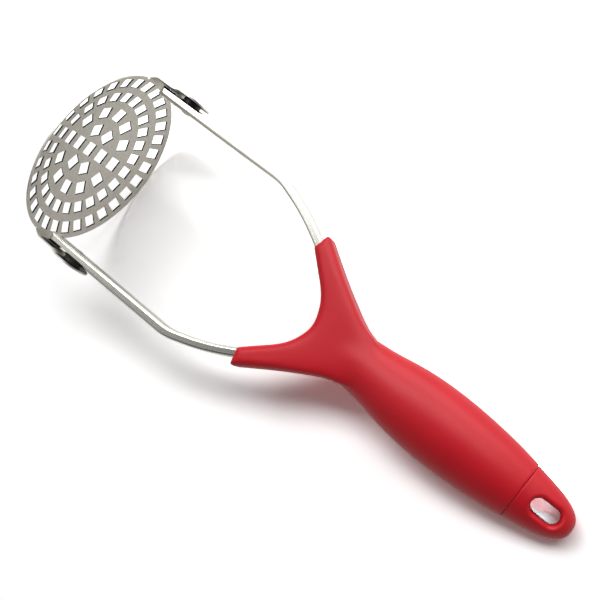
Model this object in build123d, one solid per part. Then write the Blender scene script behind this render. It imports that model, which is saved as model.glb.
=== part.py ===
from build123d import *
from copy import copy
from math import atan2, degrees, sqrt
import os

# Folding masher of stainless sheet and bar with a moulded two-tine handle.
#
# Every piece is drawn in the tool's own axes: +X runs from the disc to the butt
# along the handle, Y runs from arm to arm, Z is the depth. X = 0 is the plane of
# the disc's rim. The finished tool is then laid on its side, on the disc's rim and
# the underside of the grip, with the origin below the middle of its bounding box.

# ---- Mashing disc: a domed, pierced sheet with two folded ears ----
DISC_R = 45.0  # rim radius
DOME_H = 9.7  # height of the dome over the rim plane
SHEET_T = 0.8  # thickness of the disc and its ears
CENTRE_HOLE = 6.5  # square hole in the middle
# rings of square holes, each hole with one side facing the centre
HOLE_INSETS = (34.3, 23.9, 14.1, 4.95)  # from the rim to each ring's middle
HOLE_COUNTS = (6, 12, 24, 30)
HOLE_SIDES = (6.5, 6.3, 5.5, 5.5)

# ---- Ears ----
EAR_OUT = 1.9  # outer face of the folded strip, outside the rim
ROOT_HALF = 10.5  # half width of the flange where it leaves the rim
STRIP_HALF = 7.1  # half width of the strip at the fold
EAR_R = 8.8  # rounded end of the ear
EAR_BEND_R = 0.9  # inside radius of the fold
JOGGLE = 1.1  # outward step of the ear, to clear the washer
JOGGLE_X = 11.0  # where the step starts
JOGGLE_L = 3.0  # length of the step
NOTCH_R = 0.6  # relief notches in the rim on each side of a flange
NOTCH_DEPTH = 0.5  # how far the notches' centres lie inside the rim

# ---- Pivots ----
PIVOT_X = 19.4  # hinge axis behind the rim plane
RIVET_R = 2.0  # rivet shank
RIVET_RUN = 0.05  # radial running clearance of the ear on the shank
RIVET_HEAD_R = 3.5  # low head outside the ear
RIVET_HEAD_H = 0.8
TAIL_R = 3.0  # upset tail inside the arm
TAIL_H = 0.5
WASHER_R = 4.6  # friction washer between arm and ear
WASHER_T = 1.8
FACE_GAP = 0.05  # side play of the ear between washer and rivet head

# ---- Arms: bar with rounded edges and two bends ----
ARM_T = 4.5  # thickness across the tool
ARM_W = 8.5  # depth
ARM_ROUND = 1.4  # rounded long edges
ARM_START_X = 3.0  # blunt end near the disc
ARM_END_ROUND = 2.5  # rounded corners of the blunt end
ARM_BEND_X = 79.7  # corner of the first bend
ARM_BEND_R = 28.0
ARM_SWEEP = (98.5, 36.95)  # corner of the long second bend
ARM_SWEEP_R = 115.0
ARM_TAIL = (126.0, 22.0)  # end of the bar inside the handle
ARM_KEY_R = 1.3  # cross hole near the buried end, filled by the core
ARM_KEY_BACK = 4.5  # distance of that hole from the end

# ---- Fork: a web that spreads into two tines, drawn in plan as its +Y half ----
# inner edge, from the middle of the gap to the tip of the tine
FORK_INNER = ((132.1, 0.0), (131.2, 4.5), (128.0, 11.3), (121.0, 18.6), (111.0, 27.4))
# outer edge, from the tip of the tine to where the web has sunk into the belly
FORK_OUTER = ((113.3, 35.9), (129.8, 25.25), (143.7, 17.2), (151.0, 13.7), (158.5, 11.6), (172.0, 5.0))
FORK_DEPTH = ((100.0, 6.2), (124.0, 7.9), (138.0, 8.7), (150.0, 8.7), (172.0, 6.0))  # x, half depth
FORK_ROUND = 3.4  # rounded edges all round the web and the tines
TIP_ROUND = 1.6  # rounded corners of the tines' ends, seen in plan

# ---- Body: neck, belly and cap, turned as one form and flattened ----
# x, half width, from the nose inside the web to the butt
BODY = (
    (131.5, 0.0),
    (136.0, 5.6),
    (146.0, 10.3),
    (157.0, 12.1),
    (167.0, 13.15),
    (178.0, 15.0),
    (190.0, 16.3),
    (202.0, 16.55),
    (216.0, 15.9),
    (229.0, 14.55),
    (240.0, 12.8),
    (251.0, 10.7),
    (258.8, 8.15),
    (263.2, 4.9),
    (264.7, 0.0),
)
BODY_FLAT = 0.82  # depth of the body as a share of its width
SEAM_X = 240.0  # joint between grip and cap
SEAM_ROUND = 0.5  # rounded edges that leave a groove at the seam

# ---- Core: the hard inside of the handle ----
GRIP_WALL = 3.0  # thickness of the soft skin round the core
CORE_TINE = (3.1, 5.2)  # half width and half depth round the arms
CORE_TINE_X = 118.5  # where the core starts inside a tine
CORE_JOIN = (152.0, 5.0)  # where the core's tines run into its spine
TENON = (6.0, 5.0)  # half width and half depth of the tenon in the cap
TENON_L = 4.0

# ---- End cap with the hanging slot ----
CAP_STEP = 0.25  # the cap is this much smaller than the grip at the seam
SLOT_L = 12.8
SLOT_W = 6.8
SLOT_X = 252.2
SLOT_BEVEL = 1.6


def arm_y() -> float:
    """Middle of the +Y arm's straight run: the ear's inner face, less the washer."""
    return DISC_R + EAR_OUT + JOGGLE - SHEET_T - FACE_GAP - WASHER_T - ARM_T / 2


def bar_path() -> Wire:
    """Centre line of the +Y arm, from its blunt end to its buried end."""
    corners = ((ARM_START_X, arm_y()), (ARM_BEND_X, arm_y()), ARM_SWEEP, ARM_TAIL)
    return Wire(FilletPolyline(*corners, radius=(ARM_BEND_R, ARM_SWEEP_R)).edges())


def on_side(y: float) -> Plane:
    """Plane square to Y at this height, with its local x along X."""
    return Plane(origin=(0, y, 0), x_dir=(1, 0, 0), z_dir=(0, 1, 0))


def mirrored(shape: Part) -> Part:
    """The same piece on the -Y side."""
    return mirror(shape, about=Plane.XZ)


# ---- Head ----
def punch(side: float) -> Part:
    """Long square punch across the dome."""
    return Pos(-DOME_H, 0, 0) * Box(2 * (DOME_H + SHEET_T) + DISC_R, side, side)


def hole_pattern() -> Part:
    """Square punches of the centre and of every ring, each turned to face the centre."""
    punches = [punch(CENTRE_HOLE)]
    for inset, count, side in zip(HOLE_INSETS, HOLE_COUNTS, HOLE_SIDES):
        out = Pos(0, 0, DISC_R - inset)
        punches += [Rot(i * 360 / count, 0, 0) * out * punch(side) for i in range(count)]
    return Part() + punches


def ear() -> Part:
    """The +Y ear: a flange folded back at the rim, stepped outward, with a round drilled end."""
    dome_r = (DISC_R**2 + DOME_H**2) / (2 * DOME_H)
    slope = DISC_R / sqrt(dome_r**2 - DISC_R**2)
    strip_y = DISC_R + EAR_OUT - SHEET_T
    inset = 2 * SHEET_T
    points = (
        (-inset * slope, DISC_R - inset),
        ((strip_y - DISC_R) * slope, strip_y),
        (JOGGLE_X, strip_y),
        (JOGGLE_X + JOGGLE_L, strip_y + JOGGLE),
        (PIVOT_X + EAR_R, strip_y + JOGGLE),
    )
    inner = FilletPolyline(*points, radius=(EAR_BEND_R, SHEET_T, SHEET_T))
    band = extrude(make_face(offset(inner, SHEET_T, side=Side.LEFT).edges()), ROOT_HALF, both=True)
    root = Pos(SHEET_T, 0) * Rectangle(2 * SHEET_T, 2 * STRIP_HALF)
    outline = make_hull((Pos(PIVOT_X, 0) * Circle(EAR_R)).edges() + root.edges())
    strip = extrude(on_side(strip_y) * outline, DISC_R / 2, both=True)
    rim_y = sqrt(DISC_R**2 - ROOT_HALF**2)
    half = ((0, 0), (0, ROOT_HALF), (rim_y, ROOT_HALF), (strip_y, STRIP_HALF), (2 * DISC_R, STRIP_HALF))
    flange = make_face(Polyline(*half, (2 * DISC_R, 0), close=True))
    flange = extrude(Plane.YZ * (flange + mirror(flange, about=Plane.XZ)), SHEET_T, both=True)
    bore = on_side(strip_y) * Pos(PIVOT_X, 0) * Cylinder(RIVET_R + RIVET_RUN, DISC_R / 2)
    return (band & (strip + flange)) - bore


def masher_disc() -> Part:
    """Domed disc with its holes, relief notches and both ears."""
    dome_r = (DISC_R**2 + DOME_H**2) / (2 * DOME_H)
    centre = Pos(dome_r - DOME_H, 0, 0)
    shell = centre * Sphere(dome_r + SHEET_T) - centre * Sphere(dome_r)
    blank = Rot(0, 90, 0) * Cylinder(DISC_R, 4 * DOME_H)
    notch_z = ROOT_HALF + NOTCH_R
    notch = Rot(0, 90, 0) * Cylinder(NOTCH_R, 4 * DOME_H)
    notch += Pos(0, DISC_R / 2, 0) * Box(4 * DOME_H, DISC_R, 2 * NOTCH_R)
    notch_y = sqrt(DISC_R**2 - notch_z**2) - NOTCH_DEPTH
    notches = [Pos(0, notch_y, side * notch_z) * notch for side in (-1, 1)]
    notches += [mirrored(cut) for cut in notches]
    plate = (shell & blank) - hole_pattern() - notches
    return plate + ear() + mirrored(ear())


def rivet_head(radius: float, height: float) -> Part:
    """Low dome that stands on Z = 0."""
    ball_r = (radius**2 + height**2) / (2 * height)
    return split(Pos(0, 0, height - ball_r) * Sphere(ball_r), bisect_by=Plane.XY, keep=Keep.TOP)


def pivot_rivet() -> Part:
    """Rivet of the +Y pivot: tail inside the arm, head outside the ear."""
    inner_y = arm_y() - ARM_T / 2
    outer_y = DISC_R + EAR_OUT + JOGGLE + FACE_GAP
    shank = Pos(0, 0, (inner_y + outer_y) / 2) * Cylinder(RIVET_R, outer_y - inner_y)
    tail = Pos(0, 0, inner_y) * Rot(180, 0, 0) * rivet_head(TAIL_R, TAIL_H)
    head = Pos(0, 0, outer_y) * rivet_head(RIVET_HEAD_R, RIVET_HEAD_H)
    return Pos(PIVOT_X, 0, 0) * Rot(-90, 0, 0) * (shank + tail + head)


def pivot_washer() -> Part:
    """Friction washer that fills the space between the +Y arm and its ear."""
    ring = Cylinder(WASHER_R, WASHER_T) - Cylinder(RIVET_R, WASHER_T)
    return Pos(PIVOT_X, arm_y() + (ARM_T + WASHER_T) / 2, 0) * Rot(-90, 0, 0) * ring


# ---- Arms ----
def arm() -> Part:
    """The +Y arm: edge-rounded bar, drilled for the rivet and keyed at its buried end."""
    path = bar_path()
    section = Plane(origin=path @ 0, x_dir=(0, 0, 1), z_dir=path % 0)
    bar = sweep(section * RectangleRounded(ARM_W, ARM_T, ARM_ROUND), path)
    end = Pos(ARM_START_X + ARM_W, 0) * RectangleRounded(2 * ARM_W, ARM_W, ARM_END_ROUND)
    blunt = extrude(on_side(arm_y()) * end, ARM_T, both=True)
    tail_x = ARM_TAIL[0]
    rest = Pos(ARM_START_X + ARM_W + tail_x, 0, 0) * Box(2 * tail_x, 4 * DISC_R, 2 * ARM_W)
    bar &= blunt + rest
    bar -= on_side(arm_y()) * Pos(PIVOT_X, 0) * Cylinder(RIVET_R, 2 * ARM_T)
    key = Plane(origin=path @ 1, x_dir=(0, 0, 1), z_dir=path % 1).offset(-ARM_KEY_BACK)
    return bar - key.location * Rot(90, 0, 0) * Cylinder(ARM_KEY_R, 2 * ARM_T)


# ---- Handle ----
def fork() -> Part:
    """Web and tines: the plan extruded, thinned towards the tips, with rounded edges."""
    inner = Spline(*FORK_INNER, tangents=((0, 1), (-1, 0.9)))
    outer = Spline(*FORK_OUTER)
    closing = Polyline(outer @ 1, ((outer @ 1).X, 0), inner @ 0)
    half = make_face([inner, Line(inner @ 1, outer @ 0), outer, *closing.edges()])
    plan = half + mirror(half, about=Plane.XZ)
    top = Spline(*FORK_DEPTH)
    closing = Polyline(top @ 1, ((top @ 1).X, 0), ((top @ 0).X, 0), top @ 0)
    above = make_face([top, *closing.edges()])
    side = above + mirror(above, about=Plane.XZ)
    web = extrude(plan, DISC_R, both=True) & (Rot(90, 0, 0) * extrude(side, DISC_R, both=True))
    sunk_x = FORK_OUTER[-1][0]
    rims = web.edges().filter_by(lambda edge: abs((edge % 0.5).Z) < 0.5)
    rims = rims.filter_by(lambda rim: rim.center().X < sunk_x - FORK_ROUND)
    tips = plan.vertices().filter_by(lambda corner: abs(corner.Y) > FORK_INNER[-1][1] - TIP_ROUND)
    return fillet(rims, FORK_ROUND) & extrude(fillet(tips, TIP_ROUND), DISC_R, both=True)


def body(wall: float = 0.0) -> Part:
    """Neck, belly and cap in one, or what is left of them inside a skin of this thickness."""
    nose, *middle, butt = BODY
    points = [(nose[0] + wall, 0), *[(x, half - wall) for x, half in middle], (butt[0] - wall, 0)]
    profile = Spline(*points)
    half_face = make_face([profile, Line(profile @ 1, profile @ 0)])
    return scale(revolve(half_face, Axis.X), by=(1, 1, BODY_FLAT))


def cut_at_seam(shape: Part, keep: Keep) -> Part:
    """The part of a shape before (BOTTOM) or behind (TOP) the seam."""
    return split(shape, bisect_by=Plane(origin=(SEAM_X, 0, 0), z_dir=(1, 0, 0)), keep=keep)


def rounded_at_seam(shape: Part) -> Part:
    """The shape with its outer edge at the seam rounded."""
    face = shape.faces().filter_by(GeomType.PLANE).filter_by(Axis.X).sort_by(SortBy.AREA)[-1]
    return fillet(face.outer_wire().edges(), SEAM_ROUND)


def core_tine() -> Part:
    """Hard core round the buried end of the +Y arm, run on into the spine."""
    tail = bar_path().edges()[-1]
    start = tail @ 1 - (tail % 1) * ((ARM_TAIL[0] - CORE_TINE_X) / (tail % 1).X)
    path = FilletPolyline(start, tail @ 1, (*CORE_JOIN, 0), radius=GRIP_WALL * 4)
    half_width, half_depth = CORE_TINE
    section = Plane(origin=start, x_dir=(0, 0, 1), z_dir=path % 0) * Ellipse(half_depth, half_width)
    return sweep(section, path)


def tenon() -> Part:
    """Oval tenon that carries the cap."""
    return extrude(Plane(origin=(SEAM_X, 0, 0), z_dir=(1, 0, 0)) * Ellipse(*TENON), TENON_L)


def handle_core(arms: Part) -> Part:
    """Spine, tines and tenon of the core, moulded round the arms' ends."""
    spine = cut_at_seam(body(GRIP_WALL), Keep.BOTTOM)
    return spine + core_tine() + mirrored(core_tine()) + tenon() - arms


def grip(inside: Part) -> Part:
    """Soft skin: tines, web, neck and belly, less the core and the arms."""
    belly = rounded_at_seam(cut_at_seam(body(), Keep.BOTTOM))
    return fork() + belly - inside


def end_cap() -> Part:
    """Rounded cap with a bevelled slot to hang the tool by and a pocket for the tenon."""
    cap = rounded_at_seam(cut_at_seam(body(CAP_STEP), Keep.TOP))
    slot = extrude(Pos(SLOT_X, 0) * SlotOverall(SLOT_L, SLOT_W), DISC_R, both=True)
    cut = cap - slot
    rims = new_edges(cap, slot, combined=cut).filter_by(Axis.Z, reverse=True)
    return fillet(rims, SLOT_BEVEL) - tenon()


# ---- The whole tool, laid down ----
def tool() -> dict[str, Part]:
    """Every piece in the tool's own axes, by its node's name."""
    right_arm = arm()
    left_arm = mirrored(right_arm)
    core = handle_core(right_arm + left_arm)
    return {
        "masher_disc": masher_disc(),
        "right_arm": right_arm,
        "left_arm": left_arm,
        "right_pivot_rivet": pivot_rivet(),
        "left_pivot_rivet": mirrored(pivot_rivet()),
        "right_pivot_washer": pivot_washer(),
        "left_pivot_washer": mirrored(pivot_washer()),
        "handle_core": core,
        "grip": grip(core + right_arm + left_arm),
        "end_cap": end_cap(),
    }


def main() -> None:
    """Lay the tool on its rim and its grip, and write one STEP file per piece."""
    pieces = tool()
    seam_depth = BODY_FLAT * dict(BODY)[SEAM_X]
    tilt = Rot(0, degrees(atan2(DISC_R - seam_depth, SEAM_X)), 0)
    laid = {name: tilt * piece for name, piece in pieces.items()}
    box = Compound(children=[copy(piece) for piece in laid.values()]).bounding_box()
    home = Pos(-(box.min.X + box.max.X) / 2, -(box.min.Y + box.max.Y) / 2, -box.min.Z)
    os.makedirs("parts", exist_ok=True)
    for name, piece in laid.items():
        export_step(home * piece, f"parts/{name}.step")


if __name__ == "__main__":
    main()
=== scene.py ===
"""Dress a folding potato masher: pierced satin disc, polished arms, soft red handle."""

import logging
import math
from collections.abc import Callable
from dataclasses import dataclass
from enum import Enum

import bpy
from mathutils import Matrix, Vector


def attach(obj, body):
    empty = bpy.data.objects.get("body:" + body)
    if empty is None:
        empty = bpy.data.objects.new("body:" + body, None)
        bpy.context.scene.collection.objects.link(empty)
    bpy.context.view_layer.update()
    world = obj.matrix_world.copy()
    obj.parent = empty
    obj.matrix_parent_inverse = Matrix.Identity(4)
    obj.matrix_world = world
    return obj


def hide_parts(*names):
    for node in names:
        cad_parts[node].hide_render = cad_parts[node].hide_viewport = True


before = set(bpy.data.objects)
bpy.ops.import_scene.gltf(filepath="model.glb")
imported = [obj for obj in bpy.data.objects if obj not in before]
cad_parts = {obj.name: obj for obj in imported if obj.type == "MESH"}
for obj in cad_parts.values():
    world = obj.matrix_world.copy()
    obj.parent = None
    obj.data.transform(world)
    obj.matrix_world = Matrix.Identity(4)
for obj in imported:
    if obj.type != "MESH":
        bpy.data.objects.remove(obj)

log = logging.getLogger("masher")

Colour = tuple[float, float, float]
Span = tuple[float, float]
Socket = bpy.types.NodeSocket

MIDDLE = (0.0, 0.0, 0.0)
SIDEWAYS = (0.0, -1.0, 0.0)  # one of the two ways across the tool
NOISE_SPAN = (0.3, 0.7)  # where most values of a noise texture lie
MARK_DEPTH = 0.00005  # how deep the fine marks of a finish are cut
RANGE_ENDS = ("From Min", "From Max", "To Min", "To Max")
WHITE = (1.0, 1.0, 1.0, 1.0)


@dataclass(frozen=True)
class Lay:
    """How the tool lies: its own axes, leaned down from the disc to the butt."""

    lean: float = math.radians(8.181165)
    ahead: float = -0.12520884  # where the middle of the disc's rim lies along X
    above: float = 0.04454204  # its height over the floor

    def along(self, point: Vector) -> Vector:
        """A point in the tool's own axes.

        Args:
            point: The point in the shared frame.

        Returns:
            Its place along the tool, across it and above its middle plane.
        """
        x, z = point.x - self.ahead, point.z - self.above
        turn, rise = math.cos(self.lean), math.sin(self.lean)
        return Vector((x * turn - z * rise, point.y, x * rise + z * turn))

    def forward(self) -> Colour:
        """The way the tool points, from the disc to the butt."""
        return (math.cos(self.lean), 0.0, -math.sin(self.lean))


LAY = Lay()


def eased(value: float, span: Span) -> float:
    """A smooth step from 0 at the start of a span to 1 at its end.

    Args:
        value: The value.
        span: Where the step starts and ends.

    Returns:
        The eased share.
    """
    low, high = span
    share = min(1.0, max(0.0, (value - low) / (high - low)))
    return share * share * (3.0 - 2.0 * share)


class Grain(Enum):
    """How the fine marks of a metal surface run."""

    TUMBLED = "tumbled"
    DRAWN = "drawn"


class Sum(Enum):
    """What a Math node works out."""

    PLUS = "ADD"
    MINUS = "SUBTRACT"
    TIMES = "MULTIPLY"
    ROOT = "SQRT"
    SIZE = "ABSOLUTE"
    SIGN = "SIGN"


class Curve(Enum):
    """How a mapped value goes between the ends of its range."""

    STRAIGHT = "LINEAR"
    EASED = "SMOOTHSTEP"


class Graph:
    """A material's node tree, built link by link."""

    def __init__(self, name: str) -> None:
        """Start a material with an output and a Principled shader.

        Args:
            name: The material's name.
        """
        self.material = bpy.data.materials.new(name)
        self.material.use_nodes = True
        self.tree = self.material.node_tree
        self.shader = self.tree.nodes["Principled BSDF"]
        self.output = self.tree.nodes["Material Output"]
        coordinates = self.tree.nodes.new("ShaderNodeTexCoord")
        self.place = coordinates.outputs["Object"]
        self.faces = coordinates.outputs["Normal"]

    def node(self, kind: str, **settings: object) -> bpy.types.Node:
        """Add a node and set its properties.

        Args:
            kind: The node's type without the ShaderNode prefix.
            **settings: Property names and values.

        Returns:
            The new node.
        """
        made = self.tree.nodes.new("ShaderNode" + kind)
        for key, value in settings.items():
            setattr(made, key, value)
        return made

    def link(self, source: Socket, target: Socket) -> None:
        """Join two sockets."""
        self.tree.links.new(source, target)

    def axes(self) -> tuple[Socket, Socket, Socket]:
        """Split the piece's own coordinates.

        Returns:
            The places along X, Y and Z.
        """
        parts = self.node("SeparateXYZ")
        self.link(self.place, parts.inputs[0])
        return parts.outputs["X"], parts.outputs["Y"], parts.outputs["Z"]

    def away(self, spot: Colour) -> Socket:
        """How far the surface is from a spot.

        Args:
            spot: The spot.

        Returns:
            The distance in metres.
        """
        made = self.node("VectorMath", operation="DISTANCE")
        self.link(self.place, made.inputs[0])
        made.inputs[1].default_value = spot
        return made.outputs["Value"]

    def facing(self, way: Colour) -> Socket:
        """How far the surface faces a direction of its own piece.

        Args:
            way: The direction.

        Returns:
            The cosine.
        """
        made = self.node("VectorMath", operation="DOT_PRODUCT")
        self.link(self.faces, made.inputs[0])
        made.inputs[1].default_value = way
        return made.outputs["Value"]

    def stretched(self, scale: Colour) -> Socket:
        """The piece's own coordinates, stretched along the axes.

        Args:
            scale: Factor along X, Y and Z.

        Returns:
            The mapped coordinates.
        """
        mapping = self.node("Mapping")
        mapping.inputs["Scale"].default_value = scale
        self.link(self.place, mapping.inputs["Vector"])
        return mapping.outputs["Vector"]

    def noise(self, where: Socket, scale: float, detail: float = 3.0) -> Socket:
        """Noise over these coordinates.

        Args:
            where: The coordinates.
            scale: Cells per metre.
            detail: Octaves.

        Returns:
            The noise value.
        """
        made = self.node("TexNoise")
        made.inputs["Scale"].default_value = scale
        made.inputs["Detail"].default_value = detail
        self.link(where, made.inputs["Vector"])
        return made.outputs["Fac"]

    def joined(self, kind: Sum, first: Socket, second: Socket | float = 0.0) -> Socket:
        """Work out a value from one or two others.

        Args:
            kind: What to work out.
            first: The first value.
            second: The second value, a socket or a number.

        Returns:
            The result.
        """
        made = self.node("Math", operation=kind.value)
        self.link(first, made.inputs[0])
        if isinstance(second, float):
            made.inputs[1].default_value = second
        else:
            self.link(second, made.inputs[1])
        return made.outputs[0]

    def mapped(
        self, value: Socket, source: Span, target: Span, curve: Curve = Curve.STRAIGHT
    ) -> Socket:
        """Map one range of a value onto another.

        Args:
            value: The value.
            source: The range it comes from.
            target: The range it goes to.
            curve: How it goes between the ends.

        Returns:
            The mapped value.
        """
        made = self.node("MapRange", interpolation_type=curve.value)
        for key, number in zip(RANGE_ENDS, (*source, *target)):
            made.inputs[key].default_value = number
        self.link(value, made.inputs["Value"])
        return made.outputs["Result"]

    def step(self, value: Socket, span: Span, falling: bool = False) -> Socket:
        """A smooth step of a value over a span, from 0 up to 1 or, falling, from 1 down to 0."""
        return self.mapped(value, span, (1.0, 0.0) if falling else (0.0, 1.0), Curve.EASED)

    def tint(self, value: Socket, dark: Colour, light: Colour) -> None:
        """Colour the shader between two tones by a noise value.

        Args:
            value: The noise.
            dark: Linear colour at low values.
            light: Linear colour at high values.
        """
        ramp = self.node("ValToRGB")
        for stop, place, tone in zip(ramp.color_ramp.elements, NOISE_SPAN, (dark, light)):
            stop.position = place
            stop.color = (*tone, 1.0)
        self.link(value, ramp.inputs["Fac"])
        self.link(ramp.outputs["Color"], self.shader.inputs["Base Color"])

    def between(self, share: Socket, first: Socket | Colour, second: Colour) -> Socket:
        """Blend two colours by a share.

        Args:
            share: The share of the second colour.
            first: The first colour, a socket or linear values.
            second: The second colour.

        Returns:
            The blended colour.
        """
        made = self.node("Mix", data_type="RGBA")
        self.link(share, made.inputs["Factor"])
        if isinstance(first, tuple):
            made.inputs["A"].default_value = (*first, 1.0)
        else:
            self.link(first, made.inputs["A"])
        made.inputs["B"].default_value = (*second, 1.0)
        return made.outputs["Result"]

    def shaded(self, mask: Socket, tone: Colour) -> None:
        """Take the shader's colour to a tone where a mask says so.

        Args:
            mask: The share of the tone.
            tone: Linear colour.
        """
        target = self.shader.inputs["Base Color"]
        self.link(self.between(mask, target.links[0].from_socket, tone), target)

    def bump(self, height: Socket, strength: float) -> None:
        """Cut the fine marks into the surface.

        Args:
            height: The height, 0 to 1.
            strength: Share of the marks to show.
        """
        made = self.node("Bump")
        made.inputs["Strength"].default_value = strength
        made.inputs["Distance"].default_value = MARK_DEPTH
        self.link(height, made.inputs["Height"])
        self.link(made.outputs["Normal"], self.shader.inputs["Normal"])

    def matt(self, tone: Socket) -> Socket:
        """A matt shader.

        Args:
            tone: Its colour.

        Returns:
            The shader.
        """
        made = self.node("BsdfDiffuse")
        self.link(tone, made.inputs["Color"])
        return made.outputs[0]

    def mixed(self, share: Socket, first: Socket, second: Socket) -> Socket:
        """Blend two shaders by a share.

        Args:
            share: The share of the second shader.
            first: The first shader.
            second: The second shader.

        Returns:
            The blended shader.
        """
        made = self.node("MixShader")
        for source, target in zip((share, first, second), made.inputs):
            self.link(source, target)
        return made.outputs[0]


@dataclass(frozen=True)
class Steel:
    """A stainless finish with fine marks and faint patches."""

    name: str
    dark: Colour
    light: Colour
    rough: Span
    grain: Grain
    cells: float
    bump: float
    patches: float = 60.0
    drawn_out: float = 0.06  # cells per metre along a drawn mark, as a share of those across it

    def graph(self) -> Graph:
        """Build the node tree.

        Returns:
            The tree.
        """
        graph = Graph(self.name)
        graph.shader.inputs["Metallic"].default_value = 1.0
        run = self.drawn_out if self.grain is Grain.DRAWN else 1.0
        marks = graph.noise(graph.stretched((run, 1.0, 1.0)), self.cells)
        graph.tint(graph.noise(graph.place, self.patches), self.dark, self.light)
        graph.link(graph.mapped(marks, NOISE_SPAN, self.rough), graph.shader.inputs["Roughness"])
        graph.bump(marks, self.bump)
        return graph

    def make(self) -> bpy.types.Material:
        """Build the material."""
        return self.graph().material


@dataclass(frozen=True)
class Pierced(Steel):
    """Pressed sheet with painted shade on its sheared hole walls and on the ears' faces turned to the
    arms.
    """

    # near-black painted shade for the hole walls
    painted_wall_shade: Colour = (0.012, 0.018, 0.018)
    # near-black painted shade for the ears' faces turned to the arms, in the gap where shade falls
    painted_pocket_shade: Colour = (0.006, 0.007, 0.006)
    holes_end: Span = (0.0430, 0.0436)  # distance from the level line through the rim's middle
    pocket_shade_starts: Span = (0.0452, 0.0456)  # distance from the middle plane
    wall_shade_faces: Span = (0.45, 0.75)  # cosine to the disc's axis
    pocket_shade_faces: Span = (0.955, 0.985)  # cosine to the way inwards

    def make(self) -> bpy.types.Material:
        """Build the material.

        Returns:
            The material.
        """
        graph = self.graph()
        _, across, over = graph.axes()
        height = graph.joined(Sum.MINUS, over, LAY.above)
        squares = [graph.joined(Sum.TIMES, side, side) for side in (across, height)]
        reach = graph.joined(Sum.ROOT, graph.joined(Sum.PLUS, *squares))
        flat = graph.joined(Sum.SIZE, graph.facing(LAY.forward()))
        upright = graph.step(flat, self.wall_shade_faces, falling=True)
        pierced = graph.step(reach, self.holes_end, falling=True)
        # painted shade: the upright hole walls inside the pierced field are darkened
        graph.shaded(graph.joined(Sum.TIMES, upright, pierced), self.painted_wall_shade)
        # painted shade: the ears' faces turned inwards to the arms are darkened
        inward = graph.joined(Sum.TIMES, graph.facing(SIDEWAYS), graph.joined(Sum.SIGN, across))
        outside = graph.step(graph.joined(Sum.SIZE, across), self.pocket_shade_starts)
        turned_in = graph.step(inward, self.pocket_shade_faces)
        graph.shaded(graph.joined(Sum.TIMES, turned_in, outside), self.painted_pocket_shade)
        return graph.material


@dataclass(frozen=True)
class Moulded:
    """A moulded plastic or elastomer finish."""

    name: str
    dark: Colour
    light: Colour
    rough: Span
    cells: float
    bump: float
    gloss: float = 0.5
    patches: float = 45.0

    def make(self) -> bpy.types.Material:
        """Build the material.

        Returns:
            The material.
        """
        graph = Graph(self.name)
        graph.shader.inputs["Specular IOR Level"].default_value = self.gloss
        graph.tint(graph.noise(graph.place, self.patches), self.dark, self.light)
        fine = graph.noise(graph.place, self.cells)
        graph.link(graph.mapped(fine, NOISE_SPAN, self.rough), graph.shader.inputs["Roughness"])
        graph.bump(fine, self.bump)
        return graph.material


SHEET = Pierced(
    name="satin_sheet",
    dark=(0.67, 0.648, 0.600),
    light=(0.79, 0.764, 0.705),
    rough=(0.36, 0.50),
    grain=Grain.TUMBLED,
    cells=2500.0,
    bump=0.30,
    patches=900.0,
)
BAR = Steel(
    name="polished_bar",
    dark=(0.76, 0.745, 0.68),
    light=(0.82, 0.805, 0.735),
    rough=(0.18, 0.26),
    grain=Grain.DRAWN,
    cells=4000.0,
    bump=0.04,
)
RIVET = Steel(
    name="rivet_steel",
    dark=(0.55, 0.54, 0.52),
    light=(0.62, 0.61, 0.59),
    rough=(0.22, 0.32),
    grain=Grain.TUMBLED,
    cells=2500.0,
    bump=0.15,
)
# the washers are near-black: painted shade for the dark gap between ear and arm
WASHER = Moulded(
    name="dark_washer",
    dark=(0.012, 0.012, 0.012),
    light=(0.02, 0.02, 0.02),
    rough=(0.4, 0.5),
    cells=1500.0,
    bump=0.2,
)
CORE = Moulded(
    name="core_plastic",
    dark=(0.10, 0.10, 0.10),
    light=(0.12, 0.12, 0.12),
    rough=(0.5, 0.6),
    cells=1500.0,
    bump=0.2,
)
RED = Moulded(
    name="soft_red",
    dark=(0.600, 0.0070, 0.0170),
    light=(0.640, 0.0090, 0.0200),
    rough=(0.40, 0.48),
    cells=3000.0,
    bump=0.25,
    gloss=0.4,
)

FINISHES = (SHEET, BAR, RIVET, WASHER, CORE, RED)


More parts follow.
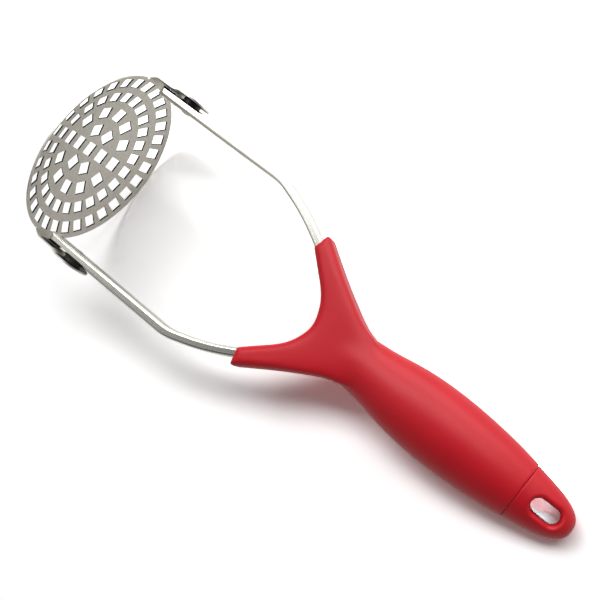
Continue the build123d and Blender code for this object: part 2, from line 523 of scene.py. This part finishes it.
@dataclass
class GripSkin:
    """The soft red cover: the moulded body with its fork, its forms blended where they meet."""

    voxel: float = 0.0007  # size of the even mesh's faces
    merge: float = 0.000002  # points closer than this are one
    front: Span = (0.126, 0.140)  # where the blend sets in, around the fork's crotch
    back: Span = (0.170, 0.192)  # where it dies out on the belly
    # about how far the cover reaches across, by the place along the tool
    flanks: tuple[Span, ...] = (
        (0.126, 0.0270),
        (0.1437, 0.0172),
        (0.1585, 0.0128),
        (0.170, 0.0136),
        (0.20, 0.0165),
    )
    margin: Span = (0.0008, 0.0050)  # from the edge of the cover inwards
    pull: float = 0.5  # how far a point moves towards the middle of its neighbours
    blend_passes: int = 160
    edge_passes: int = 3

    def build(self, material: bpy.types.Material) -> bpy.types.Object:
        """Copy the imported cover, even out its mesh and soften it.

        Args:
            material: The cover's finish.

        Returns:
            The finished piece.
        """
        cover = self.copied()
        self.remeshed(cover)
        self.softened(cover, "edges", self.edge_passes, self.all_over)
        self.softened(cover, "meeting", self.blend_passes, self.meeting)
        bpy.ops.object.shade_smooth()
        cover.data.materials.clear()
        cover.data.materials.append(material)
        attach(cover, "handle")
        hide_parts("grip")
        log.info("%s has %d faces", cover.name, len(cover.data.polygons))
        return cover

    def copied(self) -> bpy.types.Object:
        """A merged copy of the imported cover, alone in the selection.

        Returns:
            The copy.
        """
        bpy.ops.object.select_all(action="DESELECT")
        cover = bpy.data.objects.new("grip_skin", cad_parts["grip"].data.copy())
        bpy.context.collection.objects.link(cover)
        cover.select_set(True)
        bpy.context.view_layer.objects.active = cover
        bpy.ops.object.mode_set(mode="EDIT")
        bpy.ops.mesh.select_all(action="SELECT")
        bpy.ops.mesh.remove_doubles(threshold=self.merge)
        bpy.ops.object.mode_set(mode="OBJECT")
        return cover

    def remeshed(self, cover: bpy.types.Object) -> None:
        """Give the cover an even mesh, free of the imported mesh's own normals.

        Args:
            cover: The piece.
        """
        cover.data.attributes.remove(cover.data.attributes["custom_normal"])
        cover.data.remesh_voxel_size = self.voxel
        cover.data.remesh_voxel_adaptivity = 0.0
        bpy.ops.object.voxel_remesh()

    def all_over(self, point: Vector, normal: Vector) -> float:
        """Full weight everywhere."""
        return 1.0

    def meeting(self, point: Vector, normal: Vector) -> float:
        """Weight of a point where the round body rises out of the fork.

        Args:
            point: The point in the shared frame.
            normal: The surface's direction there.

        Returns:
            The weight, 0 to 1.
        """
        own = LAY.along(point)
        run = eased(own.x, self.front) * (1.0 - eased(own.x, self.back))
        if run == 0.0 or normal.z * own.z < 0.0:
            return 0.0
        return run * eased(self.half_width(own.x) - abs(own.y), self.margin)

    def half_width(self, x: float) -> float:
        """How far the cover reaches across at a place along the tool.

        Args:
            x: The place along the tool.

        Returns:
            The half width.
        """
        for (start, near), (end, far) in zip(self.flanks, self.flanks[1:]):
            if x <= end:
                return near + (far - near) * max(0.0, x - start) / (end - start)
        return self.flanks[-1][1]

    def softened(
        self, cover: bpy.types.Object, name: str, passes: int, weigh: Callable[[Vector, Vector], float]
    ) -> None:
        """Smooth the cover by a weight.

        Args:
            cover: The piece.
            name: The name of the weights.
            passes: How many times each point moves.
            weigh: Gives the weight of a point and its normal.
        """
        group = cover.vertex_groups.new(name=name)
        for vertex in cover.data.vertices:
            weight = weigh(vertex.co, vertex.normal)
            if weight > 0.0:
                group.add([vertex.index], weight, "REPLACE")
        smooth = cover.modifiers.new(name, "SMOOTH")
        smooth.factor = self.pull
        smooth.iterations = passes
        smooth.vertex_group = name
        bpy.ops.object.modifier_apply(modifier=name)


@dataclass
class Tool:
    """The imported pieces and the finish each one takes."""

    finishes: dict[str, Steel | Moulded]

    def dress(self, materials: dict[str, bpy.types.Material]) -> None:
        """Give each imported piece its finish.

        Args:
            materials: The built finishes by name.
        """
        for node, finish in self.finishes.items():
            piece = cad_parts[node]
            piece.data.materials.clear()
            piece.data.materials.append(materials[finish.name])
            log.info("%s is dressed in %s", node, finish.name)


MASHER = Tool(
    {
        "masher_disc": SHEET,
        "right_arm": BAR,
        "left_arm": BAR,
        "right_pivot_rivet": RIVET,
        "left_pivot_rivet": RIVET,
        "right_pivot_washer": WASHER,
        "left_pivot_washer": WASHER,
        "handle_core": CORE,
        "grip": RED,
        "end_cap": RED,
    }
)


@dataclass(frozen=True)
class Lamp:
    """A wide soft light that looks at the tool.

    It spares the pieces it names, or else lights only those it names.
    """

    name: str
    at: Colour
    size: Span
    power: float
    spares: tuple[str, ...] = ()
    only: tuple[str, ...] = ()
    lights_matt: bool = True

    def hang(self) -> None:
        """Put the lamp in the scene, turned to the tool."""
        data = bpy.data.lights.new(self.name, "AREA")
        data.shape = "RECTANGLE"
        data.size, data.size_y = self.size
        data.energy = self.power
        lamp = bpy.data.objects.new(self.name, data)
        bpy.context.collection.objects.link(lamp)
        aim = (-Vector(self.at)).to_track_quat("-Z", "Y").to_matrix().to_4x4()
        lamp.matrix_world = Matrix.Translation(self.at) @ aim
        lamp.visible_diffuse = self.lights_matt
        if self.spares or self.only:
            self.sort(lamp)
        log.info("%s hangs at %s", self.name, self.at)

    def sort(self, lamp: bpy.types.Object) -> None:
        """Tell the lamp which pieces it spares or lights.

        Args:
            lamp: The lamp's object.
        """
        named = bpy.data.collections.new(self.name + "_named")
        for name in self.spares + self.only:
            named.objects.link(bpy.data.objects[name])
        lamp.light_linking.receiver_collection = named
        for member in named.collection_objects:
            member.light_linking.link_state = "INCLUDE" if self.only else "EXCLUDE"


SHINE_AT = (-0.74, -0.98, 1.58)
SHINE_SIZE = (1.0, 1.9)

LAMPS = (
    Lamp("strip", at=(-0.35, 0.86, 1.97), size=(2.5, 0.75), power=27.0),
    Lamp("panel", at=(-0.90, 0.33, 1.75), size=(1.3, 0.58), power=3.6),
    Lamp("shine", SHINE_AT, SHINE_SIZE, power=3.6, spares=("floor", "left_arm"), lights_matt=False),
    Lamp("side", at=(-0.35, 1.8, 0.95), size=(2.4, 1.0), power=28.0, spares=("floor",)),
    Lamp("haze", SHINE_AT, SHINE_SIZE, power=1.8, only=("left_arm",), lights_matt=False),
    Lamp(
        "glint",
        at=(-0.50, 0.15, 1.89),
        size=(1.2, 0.40),
        power=1.7,
        spares=("floor", "left_arm", "grip_skin", "end_cap"),
        lights_matt=False,
    ),
)


@dataclass
class Studio:
    """Floor, lights, surroundings and camera."""

    camera_at: Colour = (0.158263, 0.019171, 0.382929)
    camera_right: Colour = (0.709307, 0.609883, -0.353451)
    camera_up: Colour = (-0.564980, 0.791722, 0.232323)
    lens_mm: float = 53.92
    film_mm: float = 36.0

    floor_size: float = 6.0
    floor_base: Colour = (0.97, 0.97, 0.97)
    floor_rough: float = 0.9

    # the floor to the camera: evenly white, with painted light on its lit side near the tool and a
    # painted pool of light by the hanging slot
    floor_seen: Colour = (1.80, 1.79, 1.79)
    # painted light: the floor's lit side, brighter so that shadows there wash out
    floor_painted_light: Colour = (2.9, 2.9, 2.9)
    painted_light_from: Span = (-0.004, 0.022)
    painted_light_within: Span = (0.20, 0.60)
    # painted light: a bright bluish pool on the floor in the cap's shade, seen through the hanging
    # slot
    slot_painted_light: Colour = (11.0, 27.0, 27.5)
    slot_light_spot: Colour = (0.1150, 0.0020, 0.0)
    slot_light_reach: Span = (0.002, 0.015)

    # the floor as the metal reflects it: painted reflected light on its lit side, and painted shade on
    # the stretch by the head
    floor_in_metal: Colour = (1.12, 1.12, 1.08)
    # painted reflection: the floor the metal mirrors is brighter on its lit side
    floor_in_metal_painted_light: Colour = (1.75, 1.75, 1.72)
    metal_painted_light_from: Span = (-0.05, 0.06)
    # painted shade: the floor the metal mirrors is darker in front of the head, on the far side
    floor_by_head_painted_shade: Colour = (0.85, 0.85, 0.82)
    head_shade_ends: Span = (-0.115, -0.055)
    head_shade_side: Span = (-0.05, 0.03)

    # the surroundings: their strength low down and overhead, and the heights it changes between
    glow: Span = (0.25, 0.05)
    glow_fades: Span = (0.25, 0.75)

    def build(self) -> None:
        """Make everything that isn't the tool."""
        self.add_floor()
        self.add_world()
        for lamp in LAMPS:
            lamp.hang()
        self.add_camera()

    def add_floor(self) -> None:
        """A pale floor that stays white to the camera and keeps shadows."""
        bpy.ops.object.select_all(action="DESELECT")
        bpy.ops.mesh.primitive_plane_add(size=self.floor_size, location=MIDDLE)
        floor = bpy.context.object
        floor.name = "floor"
        graph = Graph("floor_white")
        graph.shader.inputs["Base Color"].default_value = (*self.floor_base, 1.0)
        graph.shader.inputs["Roughness"].default_value = self.floor_rough
        rays = graph.node("LightPath")
        in_metal = graph.matt(self.metal_tone(graph))
        unseen = graph.mixed(rays.outputs["Is Glossy Ray"], graph.shader.outputs[0], in_metal)
        seen = graph.mixed(rays.outputs["Is Camera Ray"], unseen, graph.matt(self.camera_tone(graph)))
        graph.link(seen, graph.output.inputs["Surface"])
        floor.data.materials.append(graph.material)

    def camera_tone(self, graph: Graph) -> Socket:
        """The floor's tone to the camera, with painted light on its lit side and by the hanging slot.

        Args:
            graph: The floor's node tree.

        Returns:
            The colour.
        """
        _, across, _ = graph.axes()
        close = graph.step(graph.away(MIDDLE), self.painted_light_within, falling=True)
        # painted light: the floor is brighter on its lit side near the tool
        painted_light_side = graph.joined(Sum.TIMES, graph.step(across, self.painted_light_from), close)
        # painted light: the shaded floor under the slot is made bright
        painted_light_by_slot = graph.step(graph.away(self.slot_light_spot), self.slot_light_reach, falling=True)
        sides = graph.between(painted_light_side, self.floor_seen, self.floor_painted_light)
        return graph.between(painted_light_by_slot, sides, self.slot_painted_light)

    def metal_tone(self, graph: Graph) -> Socket:
        """The floor's tone in the metal, with painted light on its lit side and painted shade by the
        head.

        Args:
            graph: The floor's node tree.

        Returns:
            The colour.
        """
        along, across, _ = graph.axes()
        # painted reflection: brighter on the lit side
        painted_light_side = graph.step(across, self.metal_painted_light_from)
        # painted shade: the reflected floor is darker in front of the head
        beside = graph.step(across, self.head_shade_side, falling=True)
        in_front = graph.step(along, self.head_shade_ends, falling=True)
        painted_shade_by_head = graph.joined(Sum.TIMES, in_front, beside)
        sides = graph.between(painted_light_side, self.floor_in_metal, self.floor_in_metal_painted_light)
        return graph.between(painted_shade_by_head, sides, self.floor_by_head_painted_shade)

    def add_world(self) -> None:
        """Pale surroundings that darken overhead."""
        world = bpy.data.worlds.new("studio")
        bpy.context.scene.world = world
        world.use_nodes = True
        nodes, links = world.node_tree.nodes, world.node_tree.links
        parts = nodes.new("ShaderNodeSeparateXYZ")
        links.new(nodes.new("ShaderNodeTexCoord").outputs["Generated"], parts.inputs[0])
        level = nodes.new("ShaderNodeMapRange")
        level.interpolation_type = Curve.EASED.value
        for key, number in zip(RANGE_ENDS, (*self.glow_fades, *self.glow)):
            level.inputs[key].default_value = number
        links.new(parts.outputs["Z"], level.inputs["Value"])
        links.new(level.outputs["Result"], nodes["Background"].inputs["Strength"])
        nodes["Background"].inputs["Color"].default_value = WHITE

    def add_camera(self) -> None:
        """The camera above the butt, turned so the disc lies at the upper left."""
        data = bpy.data.cameras.new("camera")
        data.lens = self.lens_mm
        data.sensor_width = self.film_mm
        camera = bpy.data.objects.new("camera", data)
        bpy.context.collection.objects.link(camera)
        right = Vector(self.camera_right).normalized()
        up = Vector(self.camera_up).normalized()
        turn = Matrix((right, up, right.cross(up))).transposed().to_4x4()
        camera.matrix_world = Matrix.Translation(self.camera_at) @ turn
        bpy.context.scene.camera = camera


def main() -> None:
    """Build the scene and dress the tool."""
    logging.basicConfig(level=logging.INFO, format="%(name)s: %(message)s")
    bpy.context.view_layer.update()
    bpy.context.scene.view_settings.view_transform = "Standard"
    materials = {finish.name: finish.make() for finish in FINISHES}
    MASHER.dress(materials)
    GripSkin().build(materials[RED.name])
    Studio().build()


if __name__ == "__main__":
    main()
